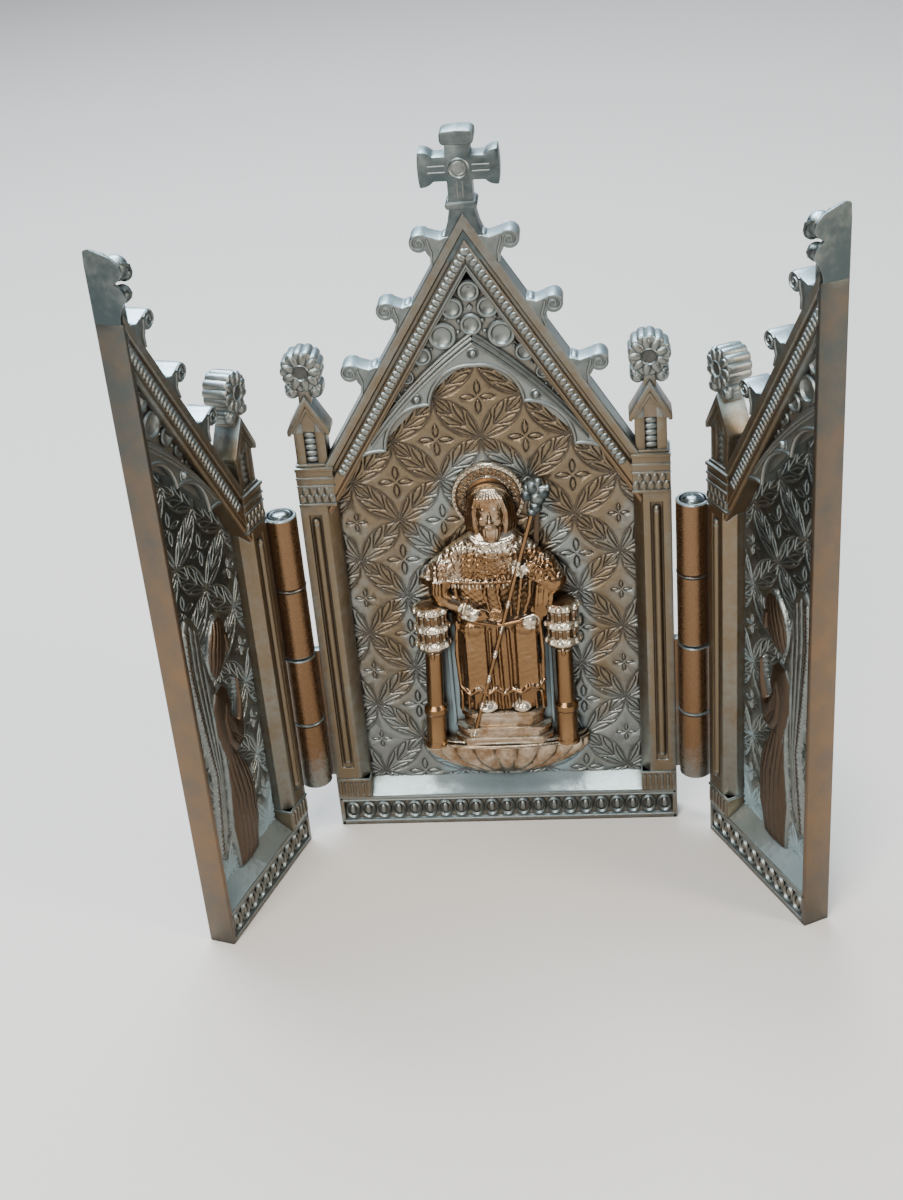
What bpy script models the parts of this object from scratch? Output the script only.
"""A small standing triptych shrine in cast metal.

A gabled centre panel carries a seated saint as an applied casting. Two half panels with praying angels
turn on pinned barrel hinges at its sides. Lengths are in millimetres until a mesh is finished.

Panel space: x runs across from the centre line, z up from the foot, and y is the depth behind the front
plane, so a raised form has a negative y. A wing is one half of the same design, set on its hinge axis.
"""

import math

import bmesh
import bpy
from mathutils import Matrix, Vector

MM = 0.001

# Panels
HALF_WIDTH = 22.0
THICKNESS = 3.3
GROUND_WALL = 1.0
GROUND = THICKNESS - GROUND_WALL
APEX_HEIGHT = 82.0
GABLE_SLOPE = 1.6
CAPITAL_TOP = 52.4
CAPITAL_FOOT = 47.4
BASE_HEIGHT = 4.4
PLINTH_HEIGHT = 3.0
PILASTER_WIDTH = 4.4
PILASTER_BEVEL = 1.1
PILASTER_BEVEL_DEPTH = 1.3
FLOOR_RISE = 1.7
RIB_COUNT = 5
FLUTE_HALF = 0.75
FLUTE_DEPTH = 0.3
REED_RADIUS = 0.5
BACK_MARGIN = 2.2
BACK_SINK = 0.3
SINK = 0.3
PROUD = 0.25

# Gable mouldings, measured square to the slope
FILLET_OFFSET = 0.45
FILLET_WIDTH = 0.6
BEAD_OFFSET = 2.3
BEAD_WIDTH = 1.0
RAKE_WIDTH = 3.1
ARCH_DEPTH = 0.4
TYMPANUM_DEPTH = 1.2

# Five lobed arch, right half: cusps, and how far each lobe bulges
ARCH_TOP = 64.0
ARCH_CUSPS = ((5.5, 59.4), (11.1, 53.8))
ARCH_SPRING = 49.6
LOBE_BULGE = (1.5, 1.7, 1.3)
LOBE_STEPS = 4
POINTED_TOP = 66.9
POINTED_FOOT = (12.6, 54.6)
POINTED_BULGE = 0.7

# Tracery cups: x, z, radius
TRACERY = (
    (0.0, 72.7, 1.05), (2.0, 70.8, 1.05), (0.0, 68.85, 1.05),
    (3.4, 67.5, 1.35), (5.9, 65.3, 0.95), (7.75, 62.8, 0.65),
)
STUDS = ((0.0, 65.4), (6.9, 60.2))
STUD_RADIUS = 0.55
CUP_SIDES = 7
CUP_RISE = 0.45

# Egg band on the foot
EGG_COUNT = 21
EGG_HEIGHT = 2.7
EGG_GAP = 0.3
BAND_MARGIN = 0.6
BAND_DEPTH = 0.5

# Pinnacles
PINNACLE_X = 19.8
PINNACLE_HALF = 1.85
EAVES_HEIGHT = 56.7
GABLET_TOP = 61.4
EAVES_HALF = 2.5
CALYX_HEIGHT = 61.9
FLOWER_HEIGHT = 64.3
FLOWER_RADIUS = 2.45
FLOWER_RAYS = 8
SLIT_HALF = 0.6
SLIT_DEPTH = 0.75

# Crockets up each slope, as scroll centres
CROCKETS = ((5.0, 78.75), (9.4, 71.1), (14.2, 63.9))
SCROLL_RADIUS = 1.1
FACE_SETBACK = 0.12
CROCKET_ROOT = 0.6
CROCKET_TAIL = 2.6

# Cross on the centre panel, and the half finial on each wing
COLLAR_HEIGHT = 82.8
CROSS_CENTRE = 86.8
CROSS_TOP = 91.0
CROSS_ARM = 4.3
CROSS_HALF_BAR = 1.35
CROSS_FLARE = 1.85
FINIAL_TOP = 87.7
BUD_LEAD = 0.7

# Barrel hinges
HINGE_X = 24.4
HINGE_LEAD = 0.6
BARREL_RADIUS = 2.0
BORE_RADIUS = 1.15
PIN_CLEARANCE = 0.12
BARREL_FOOT = 7.9
BARREL_TOP = 46.6
KNUCKLE_GAP = 0.3
RING_GROOVE = 0.2
HEAD_RADIUS = 1.45
HEAD_HEIGHT = 0.9
HEAD_SEAT = 0.6
WEB_THICKNESS = 1.2
BARREL_SIDES = 12

# Wings
FREE_GAP = 0.15
EDGE_RIM = 0.75
RIM_STEP = 0.1
LEFT_OPEN = 72.0
RIGHT_OPEN = 63.0

# Seated saint, as shares of its own place on the panel
SAINT_X = 0.4
SAINT_GAP = 0.12
SAINT_BACK = GROUND - SAINT_GAP
CORBEL_RIM = 12.2
CORBEL_HALF = 10.6
CORBEL_DROP = 5.3
CORBEL_REACH = 2.9
GADROONS = 16
POST_X = 8.05
POST_DEPTH = 0.45
POST_SIDES = 7
THRONE_HALF = 7.2
THRONE_TOP = 31.0
PLATE_THICKNESS = 0.55
STOOL_CANT = (1.3, 1.1)
HALO_CENTRE = (0.2, 47.1)
HALO_RADIUS = 4.05
HALO_THICKNESS = 0.9
HALO_SIDES = 16
HEAD_X = 0.15
STAFF_RADIUS = 0.3

# Parts of the saint as (place, radii): knees, shoes, skull, cap of hair, beard, and the hands' rough forms
KNEES = (((-2.5, 0.55, 29.6), (2.2, 1.5, 2.1)), ((3.1, 0.55, 29.7), (2.2, 1.5, 2.1)))
SHOES = (((-1.7, 0.25, 17.9), (1.25, 0.95, 0.75)), ((2.2, 0.25, 17.9), (1.25, 0.95, 0.75)))
SKULL = ((HEAD_X, 0.75, 45.9), (1.75, 1.5, 2.5))
HAIR = ((HEAD_X, 1.0, 47.0), (2.25, 1.45, 2.35))
BEARD = ((HEAD_X, 0.6, 43.9), (1.5, 1.35, 1.7))
LAP_HAND = ((-2.2, -0.1, 31.9), (1.0, 0.6, 0.7))
STAFF_HAND = ((3.2, -0.15, 38.9), (0.9, 0.75, 1.0))

INNER_HALF = HALF_WIDTH - PILASTER_WIDTH
FLUTE_X = (HALF_WIDTH + INNER_HALF + PILASTER_BEVEL) / 2 - 0.3
FLUTE_FOOT = BASE_HEIGHT + PLINTH_HEIGHT + 1.7
FLUTE_TOP = CAPITAL_FOOT - 1.4
MERGE = 1e-4
SLIVER = 0.002
FLAT_ANGLE = math.radians(3.0)
SHARP_ANGLE = math.radians(35.0)
FAR = 120.0
BAR_SINE = 1.0 / math.hypot(1.0, GABLE_SLOPE)


# Bmesh shapes

def outward(bm):
    """Turns every face of a closed shape to the outside."""
    bm.normal_update()
    bmesh.ops.recalc_face_normals(bm, faces=bm.faces)
    return bm


def prism(outline, front, back):
    """A flat outline of (x, z) points, from the front depth to the back depth."""
    bm = bmesh.new()
    face = bm.faces.new([bm.verts.new((x, front, z)) for x, z in outline])
    extruded = bmesh.ops.extrude_face_region(bm, geom=[face])["geom"]
    moved = [item for item in extruded if isinstance(item, bmesh.types.BMVert)]
    bmesh.ops.translate(bm, verts=moved, vec=(0.0, back - front, 0.0))
    return outward(bm)


def cameo(outline, front, back, draft):
    """A raised form whose sides slope in by the draft towards its front."""
    bm = prism(outline, back, back + SINK)
    face = min(bm.faces, key=lambda item: item.calc_center_median().y)
    bmesh.ops.inset_region(bm, faces=[face], thickness=draft)
    bmesh.ops.translate(bm, verts=face.verts, vec=(0.0, front - back, 0.0))
    return bm


def upright_prism(plan, foot, top):
    """A plan outline of (x, y) points, raised from the foot to the top."""
    bm = prism(plan, 0.0, 1.0)
    for vert in bm.verts:
        x, y, z = vert.co
        vert.co = (x, z, top if y > 0.5 else foot)
    return outward(bm)


def ball(centre, radii, segments=12, rings=8):
    bm = bmesh.new()
    bmesh.ops.create_uvsphere(bm, u_segments=segments, v_segments=rings, radius=1.0)
    bmesh.ops.scale(bm, verts=bm.verts, vec=radii)
    bmesh.ops.translate(bm, verts=bm.verts, vec=centre)
    return bm


def rod(start, end, start_radius, end_radius, sides=8):
    """A straight tapered rod between two points."""
    start, end = Vector(start), Vector(end)
    axis = end - start
    bm = bmesh.new()
    bmesh.ops.create_cone(
        bm, cap_ends=True, segments=sides, radius1=start_radius, radius2=end_radius, depth=axis.length
    )
    turn = Vector((0.0, 0.0, 1.0)).rotation_difference(axis).to_matrix().to_4x4()
    bmesh.ops.transform(bm, verts=bm.verts, matrix=Matrix.Translation((start + end) / 2) @ turn)
    return bm


def limb(start, end, start_radius, end_radius, sides=6):
    """A rod with a round far end, as for a sleeve."""
    return [rod(start, end, start_radius, end_radius, sides), ball(end, (end_radius * 1.02,) * 3, sides, 4)]


def lathe(profile, sides, closed=False):
    """(radius, height) points turned about the z axis. A closed profile makes a ring."""
    bm = bmesh.new()
    points = [bm.verts.new((radius, 0.0, height)) for radius, height in profile]
    pairs = list(zip(points, points[1:]))
    if closed:
        pairs.append((points[-1], points[0]))
    edges = [bm.edges.new(pair) for pair in pairs]
    bmesh.ops.spin(
        bm, geom=points + edges, cent=(0, 0, 0), axis=(0, 0, 1), angle=math.tau, steps=sides, use_merge=True
    )
    bmesh.ops.remove_doubles(bm, verts=bm.verts, dist=MERGE)
    return outward(bm)


def loft(rings):
    """Closed rings of points, joined in order, with both ends filled."""
    bm = bmesh.new()
    loops = []
    for ring in rings:
        points = [bm.verts.new(point) for point in ring]
        loops.append([bm.edges.new((a, b)) for a, b in zip(points, points[1:] + points[:1])])
    for lower, upper in zip(loops, loops[1:]):
        bmesh.ops.bridge_loops(bm, edges=lower + upper)
    bmesh.ops.holes_fill(bm, edges=loops[0] + loops[-1])
    return outward(bm)


def moved(bm, offset):
    bmesh.ops.translate(bm, verts=bm.verts, vec=offset)
    return bm


def mirrored(bm):
    """The same shape on the other side of the centre line."""
    bmesh.ops.scale(bm, verts=bm.verts, vec=(-1.0, 1.0, 1.0))
    bmesh.ops.reverse_faces(bm, faces=bm.faces)
    return bm


# Outlines

def arc(start, end, bulge, steps):
    """Points from start to just before end along an arc that bulges to the left of the way."""
    (x0, z0), (x1, z1) = start, end
    chord = math.hypot(x1 - x0, z1 - z0)
    radius = (chord * chord / 4 + bulge * bulge) / (2 * bulge)
    half_angle = math.asin(min(1.0, chord / (2 * radius)))
    ux, uz = (x1 - x0) / chord, (z1 - z0) / chord
    points = []
    for step in range(steps):
        angle = half_angle * (2 * step / steps - 1)
        along = chord / 2 + radius * math.sin(angle)
        out = radius * math.cos(angle) - (radius - bulge)
        points.append((x0 + ux * along - uz * out, z0 + uz * along + ux * out))
    return points


def both_sides(half):
    """A full outline from its right half, which starts and ends on the centre line."""
    return half + [(-x, z) for x, z in reversed(half) if x > MERGE]


def clipped(outline, left):
    """The part of an outline to the right of a vertical line."""
    kept = []
    for (x0, z0), (x1, z1) in zip(outline, outline[1:] + outline[:1]):
        if x0 >= left:
            kept.append((x0, z0))
        if (x0 - left) * (x1 - left) < 0:
            kept.append((left, z0 + (z1 - z0) * (left - x0) / (x1 - x0)))
    return kept


def rake_height(x, offset=0.0):
    """Height of a line that runs parallel to the gable's slope, square to it by the offset."""
    return APEX_HEIGHT - offset / BAR_SINE - GABLE_SLOPE * x


def rake_x(z, offset=0.0):
    return (APEX_HEIGHT - offset / BAR_SINE - z) / GABLE_SLOPE


def body_outline():
    side = [(HALF_WIDTH, 0.0), (HALF_WIDTH, CAPITAL_TOP), (rake_x(CAPITAL_TOP), CAPITAL_TOP)]
    return both_sides([(0.0, 0.0), *side, (0.0, APEX_HEIGHT)])


def arch_line():
    """The lobed arch from the right spring to the top, on the right half."""
    stops = [(INNER_HALF, ARCH_SPRING), *reversed(ARCH_CUSPS), (0.0, ARCH_TOP)]
    points = []
    for start, end, bulge in zip(stops, stops[1:], reversed(LOBE_BULGE)):
        points += arc(end, start, bulge, LOBE_STEPS)[::-1]
    return [stops[0], *points]


def opening_outline():
    return both_sides([(0.0, BASE_HEIGHT + FLOOR_RISE), (INNER_HALF, BASE_HEIGHT + FLOOR_RISE), *arch_line()])


def arch_band_outline():
    """All within the gable's mouldings, above the arch's springing."""
    foot = INNER_HALF - 0.05
    right = [(foot, ARCH_SPRING), (foot, rake_height(foot, RAKE_WIDTH))]
    return both_sides([(0.0, ARCH_SPRING), *right, (0.0, rake_height(0.0, RAKE_WIDTH))])


def tympanum_outline():
    """Between the pointed arch and the gable's mouldings."""
    top = (0.0, POINTED_TOP)
    foot = POINTED_FOOT
    pointed = arc(top, foot, POINTED_BULGE, LOBE_STEPS)
    right = [*pointed, foot, (foot[0], rake_height(foot[0], RAKE_WIDTH)), (0.0, rake_height(0.0, RAKE_WIDTH))]
    return both_sides(right)


def bar_outline(offset, width):
    """A strip along the right slope. It ends over the pilaster's inner edge and at the centre line."""
    foot = INNER_HALF
    return [
        (foot, rake_height(foot, offset + width / 2)),
        (foot, rake_height(foot, offset - width / 2)),
        (0.0, rake_height(0.0, offset - width / 2)),
        (0.0, rake_height(0.0, offset + width / 2)),
    ]


def crocket_outline(centre):
    """A leaf that rises from the slope and curls over in a scroll."""
    x, z = centre
    curl = [
        (x + SCROLL_RADIUS * math.cos(angle), z + SCROLL_RADIUS * math.sin(angle))
        for angle in (math.radians(degrees) for degrees in range(120, -121, -40))
    ]
    tail = z - CROCKET_TAIL
    root = z + 0.45
    return [
        (rake_x(root) - CROCKET_ROOT, root),
        (rake_x(root) + 1.0, root - 0.25),
        *curl,
        (x - 1.0, z - 1.4),
        (rake_x(tail) + 0.15, tail),
        (rake_x(tail) - CROCKET_ROOT, tail),
    ][::-1]


def flower_outline():
    """A fan of rays with a scalloped edge, peaked at its top."""
    points = []
    steps = FLOWER_RAYS * 2
    for step in range(steps + 1):
        angle = math.radians(-60 + 300 * step / steps)
        peak = 1.0 + 0.06 * max(0.0, math.sin(angle))
        radius = FLOWER_RADIUS * peak * (1.0 if step % 2 else 0.9)
        points.append((PINNACLE_X + radius * math.cos(angle), FLOWER_HEIGHT + radius * math.sin(angle)))
    return points


def cross_outline():
    """A cross with flared ends on a short shaft, right half mirrored."""
    bar, flare, arm = CROSS_HALF_BAR, CROSS_FLARE, CROSS_ARM
    top_face = CROSS_TOP - 0.25
    half = [
        (0.0, APEX_HEIGHT - 1.5),
        (bar, APEX_HEIGHT - 1.5),
        (bar, CROSS_CENTRE - bar),
        (arm - 0.9, CROSS_CENTRE - bar),
        (arm, CROSS_CENTRE - flare),
        (arm + 0.12, CROSS_CENTRE),
        (arm, CROSS_CENTRE + flare),
        (arm - 0.9, CROSS_CENTRE + bar),
        (bar, CROSS_CENTRE + bar),
        (bar, top_face - 1.1),
        (flare, top_face - 0.55),
        (flare, top_face),
        (0.0, CROSS_TOP),
    ]
    return both_sides(half)


def finial_outline():
    """A leafy finial on a neck. Each wing keeps one half of it."""
    half = [
        (0.0, APEX_HEIGHT - 2.5),
        (1.1, APEX_HEIGHT - 2.5),
        (0.95, APEX_HEIGHT),
        (1.25, APEX_HEIGHT + 0.7),
        (2.4, APEX_HEIGHT + 1.3),
        (3.05, APEX_HEIGHT + 2.4),
        (2.75, APEX_HEIGHT + 3.3),
        (2.0, APEX_HEIGHT + 3.9),
        (1.35, APEX_HEIGHT + 4.6),
        (0.0, FINIAL_TOP),
    ]
    return both_sides(half)


# Scratch objects and Booleans

def scratch(bm):
    """A plain object to combine with others."""
    mesh = bpy.data.meshes.new("scratch")
    bmesh.ops.triangulate(bm, faces=bm.faces)
    bm.to_mesh(mesh)
    bm.free()
    obj = bpy.data.objects.new("scratch", mesh)
    bpy.context.scene.collection.objects.link(obj)
    return obj


def combine(obj, shapes, operation):
    """Unites the object with each shape, or cuts each shape from it.

    The manifold solver is used because the exact one loses whole bodies where many shapes share a plane.
    """
    for bm in shapes:
        other = scratch(bm)
        modifier = obj.modifiers.new("combine", "BOOLEAN")
        modifier.operation = operation
        modifier.solver = "MANIFOLD"
        modifier.object = other
        graph = bpy.context.evaluated_depsgraph_get()
        mesh = bpy.data.meshes.new_from_object(obj.evaluated_get(graph))
        obj.modifiers.clear()
        obj.data = mesh
        bpy.data.objects.remove(other)
    return obj


def tidy_mesh(mesh):
    """Merges slivers that a Boolean leaves, and makes every face a triangle."""
    bm = bmesh.new()
    bm.from_mesh(mesh)
    bmesh.ops.remove_doubles(bm, verts=bm.verts, dist=SLIVER)
    bmesh.ops.dissolve_degenerate(bm, edges=bm.edges, dist=SLIVER)
    bmesh.ops.dissolve_limit(bm, angle_limit=FLAT_ANGLE, verts=bm.verts, edges=bm.edges)
    bmesh.ops.triangulate(bm, faces=bm.faces)
    bm.to_mesh(mesh)
    bm.free()


def finish(obj, name, material, hinge=None):
    """Turns millimetres into metres, puts the origin where it belongs and gives the object its material."""
    tidy_mesh(obj.data)
    offset = Vector((0.0, -THICKNESS / 2, 0.0)) if hinge is None else -Vector(hinge)
    obj.data.transform(Matrix.Scale(MM, 4) @ Matrix.Translation(offset))
    obj.data.materials.clear()
    obj.data.materials.append(material)
    obj.data.shade_smooth()
    obj.data.set_sharp_from_angle(angle=SHARP_ANGLE)
    obj.name = name
    obj.data.name = name
    return obj


def metal(name, colour, roughness):
    material = bpy.data.materials.new(name)
    material.use_nodes = True
    shader = material.node_tree.nodes["Principled BSDF"]
    shader.inputs["Base Color"].default_value = (*colour, 1.0)
    shader.inputs["Metallic"].default_value = 1.0
    shader.inputs["Roughness"].default_value = roughness
    return material


# Panel features

def pinnacle_shapes():
    """One pinnacle: body, gablet, leaves and flower, each through the panel's thickness."""
    x = PINNACLE_X
    back = THICKNESS - FACE_SETBACK
    body = [
        (x - PINNACLE_HALF, CAPITAL_TOP - SINK),
        (x + PINNACLE_HALF, CAPITAL_TOP - SINK),
        (x + PINNACLE_HALF, EAVES_HEIGHT + 1.0),
        (x, GABLET_TOP - 0.8),
        (x - PINNACLE_HALF, EAVES_HEIGHT + 1.0),
    ]
    roof = [
        (x - EAVES_HALF, EAVES_HEIGHT - 0.3),
        (x - EAVES_HALF + 0.9, EAVES_HEIGHT - 0.5),
        (x, GABLET_TOP - 2.3),
        (x + EAVES_HALF - 0.9, EAVES_HEIGHT - 0.5),
        (x + EAVES_HALF, EAVES_HEIGHT - 0.3),
        (x + EAVES_HALF, EAVES_HEIGHT + 0.4),
        (x, GABLET_TOP),
        (x - EAVES_HALF, EAVES_HEIGHT + 0.4),
    ]
    leaves = [
        (x - 0.8, GABLET_TOP - 1.3),
        (x + 0.8, GABLET_TOP - 1.3),
        (x + 2.0, CALYX_HEIGHT - 0.2),
        (x + 1.9, CALYX_HEIGHT + 0.6),
        (x + 0.6, CALYX_HEIGHT + 0.75),
        (x - 0.6, CALYX_HEIGHT + 0.75),
        (x - 1.9, CALYX_HEIGHT + 0.6),
        (x - 2.0, CALYX_HEIGHT - 0.2),
    ]
    boss = rod((x, -PROUD, FLOWER_HEIGHT), (x, 1.0, FLOWER_HEIGHT), 0.7, 0.95, 6)
    return [
        prism(body, FACE_SETBACK * 2, back - FACE_SETBACK),
        prism(roof, -FACE_SETBACK, back),
        prism(leaves, FACE_SETBACK, back - FACE_SETBACK * 2),
        prism(flower_outline(), FACE_SETBACK / 2, back - FACE_SETBACK / 2),
        boss,
    ]


def slit_cutter():
    """The tall sunk window of a pinnacle."""
    x = PINNACLE_X
    outline = [
        (x - SLIT_HALF, CAPITAL_TOP + 0.4),
        (x + SLIT_HALF, CAPITAL_TOP + 0.4),
        (x + SLIT_HALF, EAVES_HEIGHT),
        (x, EAVES_HEIGHT + 1.0),
        (x - SLIT_HALF, EAVES_HEIGHT),
    ]
    return prism(outline, -1.0, SLIT_DEPTH)


def crocket_shapes():
    shapes = []
    for number, centre in enumerate(CROCKETS):
        setback = FACE_SETBACK * (0.5 + 0.25 * number)
        shapes.append(prism(crocket_outline(centre), setback, THICKNESS - setback))
    return shapes


def cup(x, z, radius):
    """A round tracery cup: a raised ring around a dish, on the tympanum."""
    profile = ((0.0, -SINK), (radius, -SINK), (radius, CUP_RISE), (radius * 0.72, CUP_RISE), (0.0, 0.12))
    bm = lathe(profile, CUP_SIDES)
    bmesh.ops.rotate(bm, verts=bm.verts, cent=(0, 0, 0), matrix=Matrix.Rotation(math.radians(90), 3, "X"))
    return moved(bm, (x, TYMPANUM_DEPTH, z))


def stud(x, z):
    return ball((x, ARCH_DEPTH, z), (STUD_RADIUS, STUD_RADIUS, STUD_RADIUS), 6, 4)


def capital_shapes():
    """The block on a pilaster, with a fillet at its top and one at its foot."""
    outer = HALF_WIDTH - 0.04
    inner = INNER_HALF - 0.1
    shapes = []
    for foot, top, proud in (
        (CAPITAL_FOOT, CAPITAL_TOP - 0.05, 0.15),
        (CAPITAL_TOP - 0.45, CAPITAL_TOP - 0.1, 0.3),
        (CAPITAL_TOP - 1.65, CAPITAL_TOP - 1.35, 0.3),
        (CAPITAL_FOOT - 0.1, CAPITAL_FOOT + 0.35, 0.3),
    ):
        trim = 0.02 * (proud - 0.15) / 0.15
        outline = [(inner + trim, foot), (outer + trim, foot), (outer + trim, top), (inner + trim, top)]
        shapes.append(prism(outline, -proud, PILASTER_BEVEL_DEPTH + proud))
    return shapes


def plinth_shapes():
    """The ribbed block at a pilaster's foot."""
    foot, top = BASE_HEIGHT + 0.05, BASE_HEIGHT + PLINTH_HEIGHT
    inner, outer = INNER_HALF - 0.06, HALF_WIDTH - 0.03
    block = prism([(inner, foot), (outer, foot), (outer, top), (inner, top)], -0.1, GROUND + 0.2)
    pitch = (outer - inner) / RIB_COUNT
    low, high = foot + 0.3, top - 0.4
    shapes = [block]
    for number in range(RIB_COUNT):
        middle = inner + pitch * (number + 0.5)
        left, right = middle - pitch * 0.3, middle + pitch * 0.3
        shapes.append(prism([(left, low), (right, low), (right, high), (left, high)], -PROUD, 0.5))
    return shapes


def reed_shapes():
    """The rounded reed that stands in the pilaster's flute."""
    x = FLUTE_X
    foot, top = FLUTE_FOOT + REED_RADIUS, FLUTE_TOP - REED_RADIUS
    return [rod((x, REED_RADIUS / 2, foot), (x, REED_RADIUS / 2, top), REED_RADIUS, REED_RADIUS, 8)]


def flute_cutter():
    left, right = FLUTE_X - FLUTE_HALF, FLUTE_X + FLUTE_HALF
    outline = [(left, FLUTE_FOOT), (right, FLUTE_FOOT), (right, FLUTE_TOP), (left, FLUTE_TOP)]
    return prism(outline, -1.0, FLUTE_DEPTH)


def egg_shapes(left):
    """Eggs in the foot's band, from the given left limit to the panel's right edge."""
    pitch = 2 * (HALF_WIDTH - BAND_MARGIN) / EGG_COUNT
    middle = BASE_HEIGHT / 2 - 0.05
    radii = ((pitch - EGG_GAP) / 2, BAND_DEPTH * 0.9, EGG_HEIGHT / 2)
    shapes = []
    for number in range(EGG_COUNT):
        x = -HALF_WIDTH + BAND_MARGIN + pitch * (number + 0.5)
        if x > left:
            shapes.append(ball((x, BAND_DEPTH, middle), radii, 6, 3))
    return shapes


def band_cutter(left):
    """The sunk band that holds the eggs."""
    right = HALF_WIDTH - BAND_MARGIN
    foot, top = 0.65, BASE_HEIGHT - 0.55
    return prism([(left, foot), (right, foot), (right, top), (left, top)], -1.0, BAND_DEPTH)


def floor_cutter(left):
    """The sloping floor of the recess, between the foot and the ground."""
    foot = BASE_HEIGHT + 0.1
    head = foot + FLOOR_RISE + 1.0
    slope = [(0.15, foot), (1.3, foot + 0.7), (GROUND, foot + FLOOR_RISE)]
    bm = prism([(-1.0, foot), *slope, (GROUND, head), (-1.0, head)], left, INNER_HALF)
    for vert in bm.verts:
        x, y, z = vert.co
        vert.co = (y, x, z)
    return outward(bm)


def bevel_cutter():
    """The slope from a pilaster's face down into the recess."""
    edge = INNER_HALF + PILASTER_BEVEL
    inside = INNER_HALF - 0.5
    depth = PILASTER_BEVEL_DEPTH
    plan = [(edge, -0.01), (edge + 0.3, -0.6), (inside, -0.6), (inside, depth), (INNER_HALF, depth)]
    return upright_prism(plan, BASE_HEIGHT + PLINTH_HEIGHT, CAPITAL_FOOT)


def back_cutter(outline_half, left):
    """A shallow sunk field on the plain back."""
    full = both_sides(outline_half)
    return prism(clipped(full, left) if left is not None else full, THICKNESS - BACK_SINK, THICKNESS + 1.0)


def back_field():
    margin = BACK_MARGIN
    foot = HALF_WIDTH - margin
    shoulder = CAPITAL_TOP - margin
    top = (0.0, rake_height(0.0, margin))
    return [(0.0, margin), (foot, margin), (foot, shoulder), (rake_x(shoulder, margin), shoulder), top]


def knuckle_shapes(side, foot, top, seat):
    """A barrel with a ring groove at mid height, and the web that ties it to the panel's side.

    A seat leaves room for the pin's head in the top of the bore.
    """
    middle = (foot + top) / 2
    profile = [
        (BORE_RADIUS, foot),
        (BARREL_RADIUS, foot),
        (BARREL_RADIUS, middle - RING_GROOVE),
        (BARREL_RADIUS - RING_GROOVE, middle),
        (BARREL_RADIUS, middle + RING_GROOVE),
        (BARREL_RADIUS, top),
    ]
    if seat:
        room = HEAD_RADIUS + PIN_CLEARANCE
        profile += [(room, top), (room, top - HEAD_SEAT), (BORE_RADIUS, top - HEAD_SEAT)]
    else:
        profile += [(BORE_RADIUS, top)]
    barrel = moved(lathe(profile, BARREL_SIDES, closed=True), (side * HINGE_X, -HINGE_LEAD, 0.0))
    near, far = side * (HALF_WIDTH - SINK), side * (HINGE_X - BORE_RADIUS + 0.1)
    web_foot, web_top = foot + 0.1, top - 0.1
    outline = [(near, web_foot), (far, web_foot), (far, web_top), (near, web_top)]
    web = prism(outline, 0.2, 0.2 + WEB_THICKNESS)
    return [web, barrel]


def outer_shapes():
    """All that stands on the right half's outline."""
    return pinnacle_shapes() + crocket_shapes() + capital_shapes() + plinth_shapes()


def panel(left=None):
    """The whole centre panel, or the right half alone, cut off at the given left limit."""
    whole = left is None
    rim = EDGE_RIM
    obj = scratch(prism(body_outline(), 0.0, THICKNESS))

    added = outer_shapes()
    if whole:
        added += [mirrored(bm) for bm in outer_shapes()]
        added += [
            prism(cross_outline(), 0.2, THICKNESS - 0.2),
            prism(collar_outline(), -0.1, THICKNESS - 0.1),
            rod((0.0, -0.15, CROSS_CENTRE), (0.0, 1.0, CROSS_CENTRE), 1.0, 1.1, 8),
        ]
    else:
        added += [prism(finial_outline(), 0.15, THICKNESS - 0.15), finial_leaf()]
    combine(obj, added, "UNION")

    def opened(outline, step=0.0):
        return outline if whole else clipped(outline, left + rim + step)

    edge = -INNER_HALF if whole else left + rim
    band_edge = -(HALF_WIDTH - BAND_MARGIN) if whole else left + 0.5
    cuts = [
        prism(opened(opening_outline()), -1.0, GROUND),
        prism(opened(arch_band_outline(), -RIM_STEP), -1.0, ARCH_DEPTH),
        prism(opened(tympanum_outline(), RIM_STEP), -1.0, TYMPANUM_DEPTH),
        floor_cutter(edge),
        band_cutter(band_edge),
        back_cutter(back_field(), None if whole else left + 1.5),
    ]
    sides = [slit_cutter, bevel_cutter, flute_cutter]
    cuts += [make() for make in sides]
    if whole:
        cuts += [mirrored(make()) for make in sides]
    combine(obj, cuts, "DIFFERENCE")

    raised = [
        prism(bar_outline(BEAD_OFFSET, BEAD_WIDTH), -PROUD, SINK),
        prism(bar_outline(FILLET_OFFSET, FILLET_WIDTH), -PROUD * 0.8, SINK),
        *reed_shapes(),
    ]
    raised += [cup(*place) for place in TRACERY if place[0] > 0]
    raised += [stud(*place) for place in STUDS if place[0] > 0]
    if whole:
        raised += [mirrored(bm.copy()) for bm in raised]
    raised += [cup(*place) for place in TRACERY if place[0] == 0]
    raised += [stud(*place) for place in STUDS if place[0] == 0]
    raised += egg_shapes(-HALF_WIDTH if whole else left)
    combine(obj, raised, "UNION")

    if not whole:
        combine(obj, angel_shapes(), "UNION")
        beyond = prism([(-FAR, -FAR), (left, -FAR), (left, FAR), (-FAR, FAR)], -FAR, FAR)
        combine(obj, [beyond], "DIFFERENCE")
    return obj


def collar_outline():
    """The moulded collar under the cross."""
    half = CROSS_HALF_BAR + 0.45
    foot, top = COLLAR_HEIGHT - 0.35, COLLAR_HEIGHT + 0.35
    return both_sides([(0.0, foot), (half - 0.2, foot), (half, COLLAR_HEIGHT), (half - 0.2, top), (0.0, top)])


def finial_leaf():
    """The bud that leans forward from the finial's face."""
    foot, top = APEX_HEIGHT + 0.5, FINIAL_TOP - 0.8
    half = [(0.0, foot), (1.5, foot + 0.4), (2.5, foot + 1.8), (2.0, foot + 3.0), (0.0, top)]
    return cameo(both_sides(half), -BUD_LEAD, 0.3, 0.5)


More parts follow.
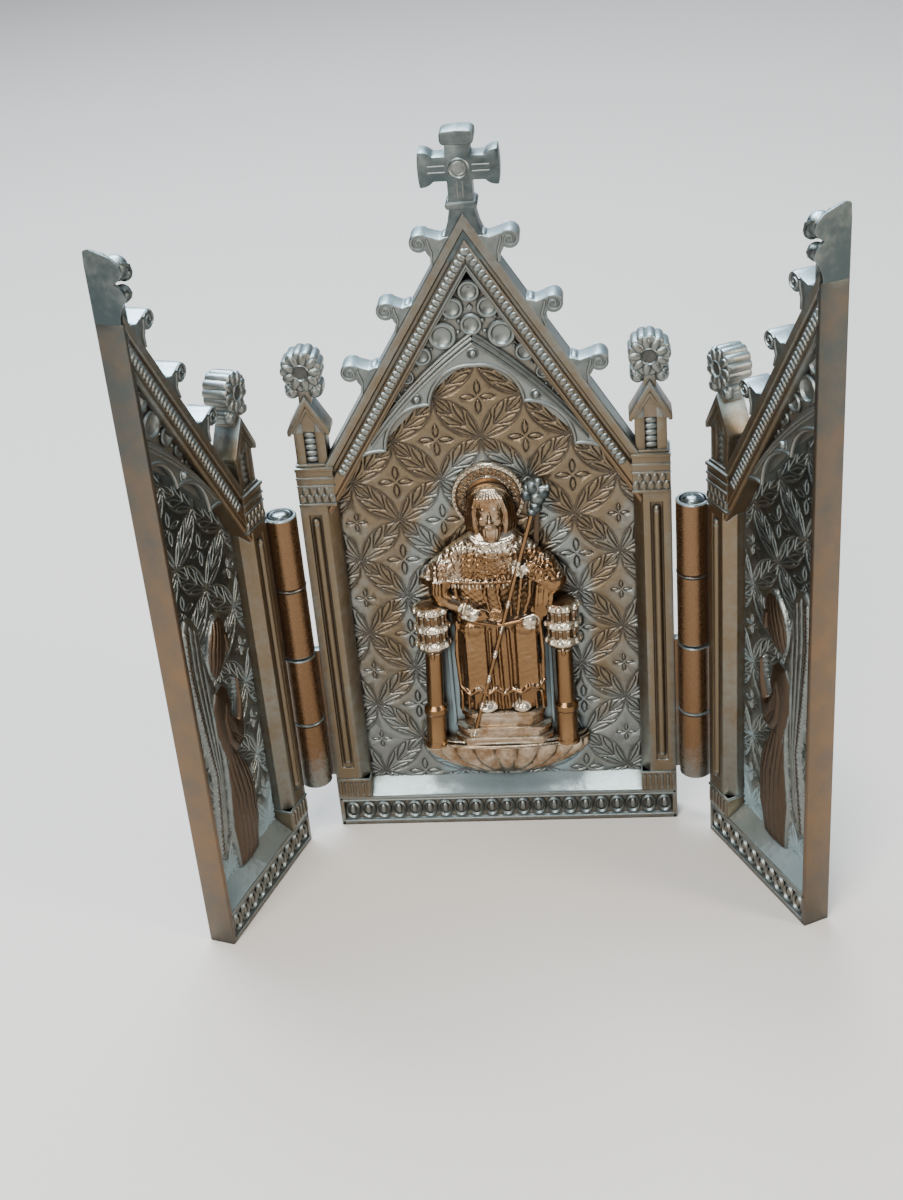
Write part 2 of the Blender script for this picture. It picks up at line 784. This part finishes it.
# Praying angel in low relief on each wing, facing the hinge

def angel_shapes():
    wing = [
        (8.6, 31.5), (7.0, 36.5), (5.9, 41.3), (4.7, 42.6), (3.6, 41.2), (3.4, 35.5), (4.2, 28.0),
        (5.2, 21.0), (4.4, 15.0), (3.7, 10.2), (4.8, 9.2), (6.6, 13.0), (7.6, 20.0), (8.2, 26.0),
    ]
    robe = [
        (7.1, 6.4), (9.6, 5.3), (12.3, 5.9), (13.3, 10.5), (13.4, 14.5), (12.7, 18.6), (12.4, 20.6),
        (11.2, 22.6), (10.9, 25.4), (11.4, 28.0), (10.7, 30.4), (9.4, 31.6), (7.7, 31.2), (6.6, 29.2),
        (6.6, 24.5), (7.2, 19.0), (6.8, 12.0),
    ]
    sleeve = [
        (9.0, 29.6), (7.9, 26.6), (8.6, 22.6), (10.6, 21.0), (12.2, 21.6), (12.9, 24.4), (13.3, 27.6),
        (12.6, 28.2), (11.4, 25.6), (10.4, 27.4),
    ]
    shapes = [
        cameo(wing[::-1], GROUND - 0.35, GROUND, 0.25),
        cameo(robe, GROUND - 0.75, GROUND, 0.45),
        cameo(sleeve[::-1], GROUND - 0.95, GROUND - 0.4, 0.3),
    ]
    head = ball((0.0, 0.0, 0.0), (2.35, 0.85, 3.95), 10, 6)
    lean = Matrix.Rotation(math.radians(22), 3, "Y")
    bmesh.ops.rotate(head, verts=head.verts, cent=(0, 0, 0), matrix=lean)
    shapes.append(moved(head, (10.1, GROUND, 36.1)))
    return shapes


# Seated saint

def oval_ring(height, centre_x, half_x, front, back, folds=0, depth=0.0, points=16):
    """A level ring round a body. Folds ripple its outline."""
    middle, half_y = (front + back) / 2, (back - front) / 2
    ring = []
    for step in range(points):
        angle = math.tau * step / points
        ripple = 1.0 + depth * math.cos(folds * angle)
        x = centre_x + half_x * math.cos(angle) * ripple
        ring.append((x, middle + half_y * math.sin(angle) * ripple, height))
    return ring


def corbel_shapes():
    """The gadrooned half dish that carries the throne."""
    rows = ((0.0, 1.0), (0.35, 0.96), (0.72, 0.7), (1.0, 0.12))
    sides = GADROONS * 2
    rings = []
    for drop, share in rows:
        ring = []
        for step in range(sides):
            angle = math.tau * step / sides
            lobe = 1.0 + 0.05 * share * math.cos(angle * GADROONS)
            ring.append(
                (
                    CORBEL_HALF * share * lobe * math.cos(angle) * 0.97,
                    SAINT_BACK + CORBEL_REACH * share * lobe * math.sin(angle) * 0.95,
                    CORBEL_RIM - CORBEL_DROP * drop,
                )
            )
        rings.append(ring)
    rim = []
    for up, inset in ((-0.35, 0.25), (0.0, 0.0), (0.4, 0.1)):
        front, back = SAINT_BACK - CORBEL_REACH + inset, SAINT_BACK + CORBEL_REACH
        rim.append(oval_ring(CORBEL_RIM + up, 0.0, CORBEL_HALF - inset, front, back, points=28))
    return [loft(rings[::-1]), loft(rim)]


def stool_shapes():
    """Two steps under the feet, with canted corners."""
    across, deep = STOOL_CANT
    back = SAINT_BACK + 0.4
    steps = (
        (CORBEL_RIM + 0.2, 13.2, 6.1, -0.62),
        (13.0, 14.9, 5.6, -0.42),
        (14.7, 15.6, 5.9, -0.58),
        (15.4, 17.4, 4.8, -0.2),
    )
    shapes = []
    for foot, top, half, front in steps:
        left = [(-half, back), (-half, front + deep), (-half + across, front)]
        right = [(half - across, front), (half, front + deep), (half, back)]
        shapes.append(upright_prism(left + right, foot, top))
    return shapes


def post_profile():
    """Radius and height up a throne post, from its foot to the knop's top."""
    return (
        (0.0, 12.2), (1.4, 12.2), (1.3, 17.2), (1.45, 17.5), (1.45, 18.3), (1.2, 18.6), (1.15, 27.4),
        (2.1, 29.0), (1.65, 30.2), (2.15, 31.5), (1.65, 32.8), (2.0, 34.1), (0.0, 35.2),
    )


def throne_shapes():
    half = THRONE_HALF
    plate = [(-half, CORBEL_RIM), (half, CORBEL_RIM), (half, THRONE_TOP), (-half, THRONE_TOP)]
    shapes = [prism(plate, SAINT_BACK - PLATE_THICKNESS, SAINT_BACK + 0.4)]
    for side in (-1, 1):
        shapes.append(moved(lathe(post_profile(), POST_SIDES), (side * POST_X, POST_DEPTH, 0.0)))
    return shapes


def robe_shapes():
    """Skirt, knees, torso and cape, from the hem to the neck."""
    back = SAINT_BACK + 0.6
    skirt = loft(
        [
            oval_ring(17.2, 0.0, 4.5, 0.05, back, 7, 0.05, 14),
            oval_ring(18.6, 0.0, 4.9, -0.35, back, 7, 0.06, 14),
            oval_ring(24.0, 0.0, 4.6, -0.5, back, 7, 0.05, 14),
            oval_ring(29.6, 0.1, 5.0, -0.7, back, 7, 0.02, 14),
            oval_ring(31.8, 0.0, 4.4, 0.1, back, 7, 0.0, 14),
        ]
    )
    torso = loft(
        [
            oval_ring(29.5, 0.0, 4.4, 0.2, back),
            oval_ring(34.0, 0.0, 4.2, -0.05, back),
            oval_ring(38.0, 0.0, 5.0, -0.3, back),
            oval_ring(41.0, 0.2, 3.4, 0.1, back),
        ]
    )
    cape = loft(
        [
            oval_ring(36.4, -0.6, 7.0, 0.0, back),
            oval_ring(37.1, -0.5, 7.8, -0.45, back),
            oval_ring(38.6, -0.2, 7.5, -0.6, back),
            oval_ring(40.6, 0.1, 5.4, -0.5, back),
            oval_ring(42.3, 0.2, 2.9, -0.1, back),
            oval_ring(42.9, 0.2, 2.2, 0.3, back),
        ]
    )
    knees = [ball(*knee, 10, 6) for knee in KNEES]
    shoes = [ball(*shoe, 8, 4) for shoe in SHOES]
    return [skirt, torso, cape, *knees, *shoes]


def arm_shapes():
    right_arm = limb((-6.1, 0.9, 38.2), (-6.9, 0.7, 34.6), 1.6, 1.35)
    forearm = limb((-6.6, 0.6, 34.2), (-2.9, 0.1, 32.1), 1.1, 0.85)
    right_hand = ball(*LAP_HAND, 6, 4)
    left_arm = limb((6.2, 0.9, 38.2), (7.6, 0.5, 35.6), 1.6, 1.45)
    raised_forearm = limb((7.2, 0.3, 35.9), (4.0, -0.1, 38.6), 1.25, 0.85)
    left_hand = ball(*STAFF_HAND, 6, 4)
    sleeve = loft(
        [
            oval_ring(29.2, 4.6, 0.9, 0.0, SAINT_BACK + 0.5, points=10),
            oval_ring(33.0, 5.3, 1.9, -0.25, SAINT_BACK + 0.5, points=10),
            oval_ring(36.8, 5.9, 2.2, -0.25, SAINT_BACK + 0.5, points=10),
        ]
    )
    return [*right_arm, *forearm, right_hand, *left_arm, *raised_forearm, left_hand, sleeve]


def head_shapes():
    x, z = HALO_CENTRE
    rim, back, dish = HALO_RADIUS, -HALO_THICKNESS, -0.05
    section = ((0.0, back), (rim, back), (rim, 0.0), (rim - 0.6, 0.15), (rim - 0.75, dish), (0.0, dish))
    halo = lathe(section, HALO_SIDES)
    bmesh.ops.rotate(halo, verts=halo.verts, cent=(0, 0, 0), matrix=Matrix.Rotation(math.radians(90), 3, "X"))
    moved(halo, (x, SAINT_BACK - PLATE_THICKNESS, z))
    nose = [(-0.28, 44.6), (0.28, 44.6), (0.2, 46.4), (-0.2, 46.4)]
    return [
        halo,
        ball(*SKULL, 10, 8),
        ball(*HAIR, 10, 6),
        ball(*BEARD, 8, 6),
        rod((HEAD_X, 0.7, 41.6), (HEAD_X, 0.9, 43.6), 1.6, 1.3, 8),
        moved(cameo(nose, -0.95, -0.4, 0.12), (HEAD_X, 0.0, 0.0)),
    ]


def staff_shapes():
    """The long staff across the body, with its knots and cross shaped head."""
    foot, grip, top = Vector((-4.0, -0.1, 12.9)), Vector((3.3, -0.62, 38.9)), Vector((5.7, 0.45, 47.4))
    radius = STAFF_RADIUS
    shapes = [rod(foot, grip, radius, radius, 6), rod(grip - (top - grip) * 0.1, top, radius, radius, 6)]
    for share in (0.2, 0.5, 0.78):
        shapes.append(ball(foot.lerp(grip, share), (0.42, 0.36, 0.5), 6, 4))
    shapes += [
        ball(top, (0.8, 0.75, 0.8), 6, 4),
        ball(top - Vector((0.25, 0.0, 2.7)), (0.75, 0.7, 1.1), 6, 4),
        rod(top, top + Vector((0.25, 0.0, 1.9)), 0.45, 0.5, 6),
        rod(top + Vector((-1.0, 0.0, 1.1)), top + Vector((1.3, 0.0, 1.0)), 0.4, 0.4, 6),
        prism([(5.0, 37.0), (6.6, 37.0), (6.6, 48.3), (5.2, 48.3)], 0.7, SAINT_BACK + 0.3),
    ]
    return shapes


def saint():
    obj = scratch(ball((0.0, SAINT_BACK - 0.2, 34.0), (3.6, 1.2, 5.5), 12, 8))
    makers = (throne_shapes, corbel_shapes, stool_shapes, robe_shapes, arm_shapes, head_shapes, staff_shapes)
    combine(obj, [bm for make in makers for bm in make()], "UNION")
    behind = prism([(-FAR, -FAR), (FAR, -FAR), (FAR, FAR), (-FAR, FAR)], SAINT_BACK, FAR)
    combine(obj, [behind], "DIFFERENCE")
    obj.data.transform(Matrix.Translation((SAINT_X, 0.0, 0.0)))
    return obj


# Whole shrine

def hinge_pin():
    """A pin with a domed head in the barrel's top and a flush foot."""
    radius = BORE_RADIUS - PIN_CLEARANCE
    seat = BARREL_TOP - HEAD_SEAT + PIN_CLEARANCE
    profile = (
        (0.0, BARREL_FOOT + 0.1),
        (radius, BARREL_FOOT + 0.1),
        (radius, seat),
        (HEAD_RADIUS, seat),
        (HEAD_RADIUS, seat + HEAD_HEIGHT * 0.45),
        (HEAD_RADIUS * 0.8, seat + HEAD_HEIGHT * 0.8),
        (HEAD_RADIUS * 0.45, seat + HEAD_HEIGHT * 0.97),
        (0.0, seat + HEAD_HEIGHT),
    )
    return lathe(profile, BARREL_SIDES)


def build():
    for obj in list(bpy.data.objects):
        bpy.data.objects.remove(obj)

    copper = metal("antique copper", (0.30, 0.18, 0.11), 0.42)
    bronze = metal("bright bronze", (0.52, 0.32, 0.17), 0.3)
    steel = metal("pin steel", (0.34, 0.36, 0.38), 0.35)

    split = (BARREL_FOOT + BARREL_TOP) / 2
    low_top, high_foot = split - KNUCKLE_GAP / 2, split + KNUCKLE_GAP / 2

    centre = panel()
    for side in (-1, 1):
        combine(centre, knuckle_shapes(side, BARREL_FOOT, low_top, False), "UNION")
    finish(centre, "centre_panel", copper)

    finish(saint(), "seated_saint", bronze)

    for name, side, angle in (("left", -1, LEFT_OPEN), ("right", 1, -RIGHT_OPEN)):
        pivot = bpy.data.objects.new(name + "_hinge_axis", None)
        bpy.context.scene.collection.objects.link(pivot)
        pivot.location = Vector((side * HINGE_X, -HINGE_LEAD - THICKNESS / 2, 0.0)) * MM
        pivot.rotation_euler.z = math.radians(angle)

        wing = panel(FREE_GAP)
        combine(wing, knuckle_shapes(1, high_foot, BARREL_TOP, True), "UNION")
        if side > 0:
            wing.data.transform(Matrix.Scale(-1.0, 4, (1.0, 0.0, 0.0)))
            wing.data.flip_normals()
        finish(wing, name + "_wing", copper, hinge=(-side * HINGE_X, -HINGE_LEAD, 0.0))
        wing.parent = pivot

        pin = finish(scratch(hinge_pin()), name + "_hinge_pin", steel, hinge=(0.0, 0.0, 0.0))
        pin.location = pivot.location


build()
